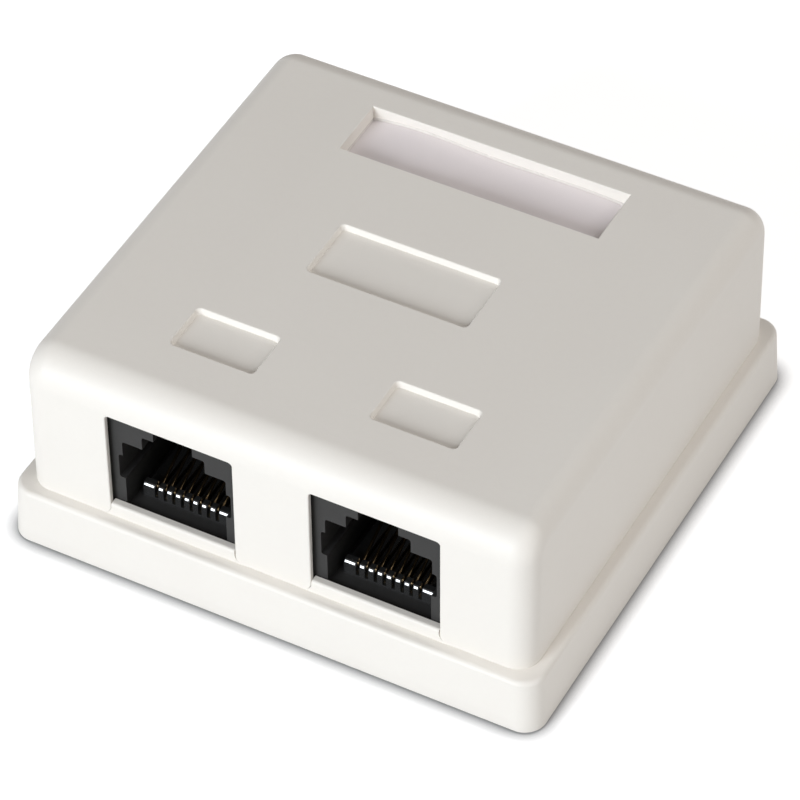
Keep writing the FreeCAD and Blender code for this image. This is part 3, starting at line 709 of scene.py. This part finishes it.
# %% Solder under the board
board_low, board_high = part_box("circuit_board")
values = {"Pad": 0.72 * mm, "Tip": 0.24 * mm, "Height": 0.95 * mm, "Copper": 0.07 * mm}
for side in sides:
    legs = []
    for number in range(1, wires_in_jack + 1):
        low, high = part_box(f"{side}_contact_{number}")
        legs.append(((low.x + high.x) / 2, high.y - wire_thick / 2, board_low.z))
        low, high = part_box(f"{side}_blade_{number}")
        legs.append(((low.x + high.x) / 2, (low.y + high.y) / 2, board_low.z))
    piece = grown(side + "_solder", dots(side + "_legs", legs), solder_joints, values, "base")
    print(piece.name, len(legs), "joints,", len(piece.data.polygons), "faces")

# %% [markdown]
# ## Board screws
#
# Two pan-head screws hold the board. The head is turned to a soft shoulder and the cross is pressed
# into it, so the tree draws in a cylinder's rings towards the top and cuts two crossed bars out of it.
# Below the board a wire of three-cornered section, wound in a helix round a thinner core, is the
# thread. It is sunk a little into the core, which takes far fewer faces than a cut groove and looks the
# same.

# %% The head of a screw, with its cross
shoulder = 0.36             # how much of its radius the head loses at the top
cross_wide, cross_long = 0.26, 1.15     # of the head's radius
cross_up = 0.95             # of the head's height


def moved(tree, part, height):
    """A geometry raised by that height, which can be reckoned from the tree's inputs."""
    shift = add_node(tree, "ShaderNodeCombineXYZ", None, {"Z": height})
    return add_node(tree, "GeometryNodeTransform", None, {"Geometry": part, "Translation": shift})


tree, given = new_tree("board_screws", {
    "Head": "NodeSocketFloat", "Head Height": "NodeSocketFloat", "Shank": "NodeSocketFloat",
    "Length": "NodeSocketFloat", "Pitch": "NodeSocketFloat",
})
blank = turned(tree, given["Head"], given["Head Height"], vertices=40, rings=14,
               profile=lambda climb: 1 - climb ** 4 * shoulder)
bars = []
for long_side in ("X", "Y"):
    size = {"X": given["Head"] * cross_wide, "Y": given["Head"] * cross_wide, "Z": given["Head Height"]}
    size[long_side] = given["Head"] * cross_long
    size = add_node(tree, "ShaderNodeCombineXYZ", None, size)
    bars.append(add_node(tree, "GeometryNodeMeshCube", None, {"Size": size}))
cross = moved(tree, joined(tree, *bars), given["Head Height"] * cross_up)
head = add_node(tree, "GeometryNodeMeshBoolean", {"operation": "DIFFERENCE", "solver": "EXACT"},
                {"Mesh 1": blank, "Mesh 2": cross, "Self Intersection": True})
print("head with a cross", cross_wide, "of its radius wide")

# %% Its core and thread
core_share, ridge_share, ridge_size = 0.78, 0.84, 0.14      # of the shank's radius
threaded = 0.8              # of the length, up from the point
thread_foot = 0.94          # of the length, down from the board

core = add_node(tree, "GeometryNodeMeshCylinder", None,
                {"Vertices": 20, "Radius": given["Shank"] * core_share, "Depth": given["Length"]})
core = moved(tree, core, given["Length"] * -0.5)
helix = add_node(tree, "GeometryNodeCurveSpiral", None, {
    "Resolution": 20, "Rotations": given["Length"].math("DIVIDE", given["Pitch"]) * threaded,
    "Start Radius": given["Shank"] * ridge_share, "End Radius": given["Shank"] * ridge_share,
    "Height": given["Length"] * threaded,
})
ridge = add_node(tree, "GeometryNodeCurvePrimitiveCircle", None,
                 {"Resolution": 3, "Radius": given["Shank"] * ridge_size})
thread = add_node(tree, "GeometryNodeCurveToMesh", None,
                  {"Curve": helix, "Profile Curve": ridge, "Fill Caps": True})
thread = moved(tree, thread, given["Length"] * -thread_foot)
screws = add_node(tree, "GeometryNodeInstanceOnPoints", None,
                  {"Points": given["Geometry"], "Instance": joined(tree, head, core, thread)})
board_screws = end_tree(tree, screws, zinc_plate)

# %% Two screws through the board
shank, thread_pitch = 1.05 * mm, 0.9 * mm
for name in ("front_board_screw", "rear_board_screw"):
    low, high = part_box(name)
    seat = ((low.x + high.x) / 2, (low.y + high.y) / 2, board_high.z)
    values = {"Head": (high.x - low.x) / 2, "Head Height": high.z - board_high.z, "Shank": shank,
              "Length": board_high.z - low.z, "Pitch": thread_pitch}
    piece = grown(name + "_turned", dots(name + "_seat", [seat]), board_screws, values, "base", smooth=40)
    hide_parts(name)
    print(piece.name, len(piece.data.polygons), "faces")

# %% [markdown]
# ## Floor
#
# The box stands on a plain white floor that fills the view. Its colour alone would render a shade under
# white, so it also gives off a little light that only the camera and mirrorings can see. That lifts
# the open floor to white. More lamp light would do that too, but it would burn out the box. At the
# foot of the box, where the sky is hidden within a couple of millimetres, the floor's colour is painted
# darker and its glow is held back: a painted shadow, which gives the dark soft line round the foot.

# %% What the floor is made of
# How far from the box the painted shadow reaches.
painted_shadow_reach = 2.1 * mm
floor_lift = 0.72
floor_material = bpy.data.materials.new("floor_white")
tree = empty_tree(floor_material)
seen = add_node(tree, "ShaderNodeLightPath", output="Is Camera Ray")
lift = (seen + seen.beside("Is Glossy Ray") + seen.beside("Is Transmission Ray")).clamped() * floor_lift
open_sky = add_node(tree, "ShaderNodeAmbientOcclusion", {"samples": 16}, {"Distance": painted_shadow_reach}, "AO")
# Painted shadow: near the foot of the box the floor's colour is darkened and its glow held back.
clear_of_painted_shadow = ((open_sky - 0.5) * 2).clamped()     # 0 where half of the sky or more is hidden
painted_shadow_colour = mix_colours(tree, clear_of_painted_shadow, (0.38, 0.38, 0.385, 1), (0.66, 0.66, 0.66, 1))
glow = mix_colours(tree, clear_of_painted_shadow, (0.04, 0.04, 0.042, 1), (1, 1, 1, 1))
shader = add_node(tree, "ShaderNodeBsdfPrincipled", None, {
    "Base Color": painted_shadow_colour, "Roughness": 0.9, "Specular IOR Level": 0.0,
    "Emission Color": glow, "Emission Strength": lift,
})
add_node(tree, "ShaderNodeOutputMaterial", None, {"Surface": shader})
print("floor_white:", len(tree.nodes), "nodes")

# %% The floor itself
half = 3.0
floor_gap = 0.02 * mm       # keeps it clear of the underside of the base
corners = [(-half, -half, 0), (half, -half, 0), (half, half, 0), (-half, half, 0)]
floor_mesh = bpy.data.meshes.new("floor")
floor_mesh.from_pydata(corners, [], [(0, 1, 2, 3)])
floor_mesh.materials.append(floor_material)
floor = placed("floor", floor_mesh)
floor.location.z = -floor_gap
floor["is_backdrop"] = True
print("floor", 2 * half, "m square")

# %% [markdown]
# ## Soft light
#
# White plastic on white shows its form only by small differences, so the light comes from a few wide
# sources of unlike strength. A dim, warm sky fills every shadow and leaves the top a calm grey. A soft
# lamp low in front makes the front faces the brightest and glints on the combs. A large one high at
# the side keeps the right side from falling dark. The sky has a brighter patch low behind on the
# right, like a lit wall, which the plastic mirrors faintly where it is seen at a flat angle.

# %% Sky
low_sky, high_sky = (0.250, 0.240, 0.230, 1), (0.160, 0.148, 0.140, 1)
wall_falloff = 2.5          # the patch has faded out at 1 / 2.5 of the way up
wall_gain = 3.6
diagonal = 0.7              # the patch lies as far to the right as behind
world = bpy.data.worlds.new("sky")
tree = empty_tree(world)
aside, behind, up = add_node(tree, "ShaderNodeTexCoord", output="Generated").xyz()
height = up.clamped()
tent = mix_colours(tree, height, low_sky, high_sky)
lit_wall = (1 - height * wall_falloff).clamped() * (aside * diagonal + behind * diagonal).clamped() ** 2
strength = 1 + lit_wall * wall_gain
sky = add_node(tree, "ShaderNodeBackground", None, {"Color": tent, "Strength": strength})
add_node(tree, "ShaderNodeOutputWorld", None, {"Surface": sky})
bpy.context.scene.world = world
print("sky:", len(tree.nodes), "nodes")

# %% Lamps
def direction(azimuth, elevation):
    """The way out at these angles in degrees. Azimuth is from straight in front, to the right."""
    azimuth, elevation = math.radians(azimuth), math.radians(elevation)
    flat_part = math.cos(elevation)
    return Vector((math.sin(azimuth) * flat_part, -math.cos(azimuth) * flat_part, math.sin(elevation)))


lamp_aim = Vector((0, 0, 12 * mm))


def soft_lamp(name, azimuth, elevation, distance, size, watts, tint):
    """A rectangular lamp turned to the middle of the box."""
    way = direction(azimuth, elevation)
    lamp = bpy.data.lights.new(name, "AREA")
    lamp.shape = "RECTANGLE"
    lamp.size, lamp.size_y = size
    lamp.energy = watts
    lamp.color = tint
    holder = placed(name, lamp)
    holder.location = way * distance + lamp_aim
    holder.rotation_euler = (-way).to_track_quat("-Z", "Y").to_euler()
    print(name, watts, "W,", distance, "m away")


soft_lamp("front_lamp", azimuth=-15, elevation=21, distance=1.22, size=(0.55, 0.5),
          watts=12.2, tint=(0.94, 0.99, 1.04))
soft_lamp("side_lamp", azimuth=96, elevation=46, distance=1.2, size=(1.5, 1.3),
          watts=6.6, tint=(1.0, 0.99, 0.98))

# %% [markdown]
# ## Camera
#
# A long lens from a little to the right and well above shows the top, the two mouths and one side,
# and keeps parallel edges nearly parallel, as a product is usually shown. The aim is a touch off the
# middle of the box, and the camera is rolled by less than a degree.

# %% Camera
azimuth, elevation = 28.54, 44.75
roll = math.radians(-0.70)
distance = 471.0 * mm
aim = (cad_low + cad_high) / 2 + Vector((0.903, -2.352, -2.519)) * mm
back = direction(azimuth, elevation)
right = Vector((math.cos(math.radians(azimuth)), math.sin(math.radians(azimuth)), 0))
up = back.cross(right)
right, up = math.cos(roll) * right + math.sin(roll) * up, math.cos(roll) * up - math.sin(roll) * right
turn = Matrix((right, up, back)).transposed().to_4x4()
lens = bpy.data.cameras.new("camera")
lens.lens = 204.3
lens.clip_start = 0.01
camera = placed("camera", lens)
camera.matrix_world = Matrix.Translation(aim + back * distance) @ turn
bpy.context.scene.camera = camera
bpy.context.scene.view_settings.view_transform = "Standard"
print("camera", [round(v / mm, 1) for v in camera.matrix_world.translation])

# %% Sizes, and the end
view_low, view_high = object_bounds()
ends = zip(cad_low, view_low, view_high, cad_high)
print("grew by", [round(max(a - b, c - d) / mm, 3) for a, b, c, d in ends], "mm")
